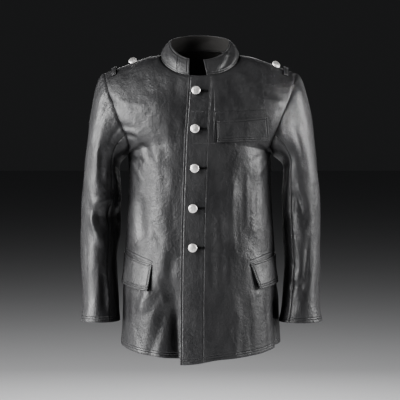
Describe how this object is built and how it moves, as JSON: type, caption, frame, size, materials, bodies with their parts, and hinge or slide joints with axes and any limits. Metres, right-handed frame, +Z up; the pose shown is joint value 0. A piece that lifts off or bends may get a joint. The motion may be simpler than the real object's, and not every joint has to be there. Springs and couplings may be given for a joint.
{
  "type": "leather uniform jacket",
  "caption": "Hip-length black leather uniform jacket with a low stand collar, domed metal front buttons, shoulder loops, a chest flap and slanted hip flaps.",
  "frame": {"origin": "middle of the neck opening, at the height where the collar meets the shoulder seams", "axes": "+Z up; the front of the jacket faces -Y; +X is the wearer's left"},
  "size_m": [0.6, 0.2993, 0.8002],
  "materials": {
    "leather": "black smooth-grained leather with a soft sheen",
    "button_metal": "satin silver-coloured metal with a bright rim"
  },
  "bodies": {
    "root": {"front_left": "leather", "front_right": "leather", "back": "leather", "collar": "leather", "sleeve_top_left": "leather", "sleeve_under_left": "leather", "sleeve_top_right": "leather", "sleeve_under_right": "leather", "flap_chest": "leather", "flap_hip_left": "leather", "flap_hip_right": "leather", "shoulder_loop_left": "leather", "shoulder_loop_right": "leather", "button_1": "button_metal", "button_2": "button_metal", "button_3": "button_metal", "button_4": "button_metal", "button_5": "button_metal", "shoulder_button_left": "button_metal", "shoulder_button_right": "button_metal"}
  },
  "joints": []
}
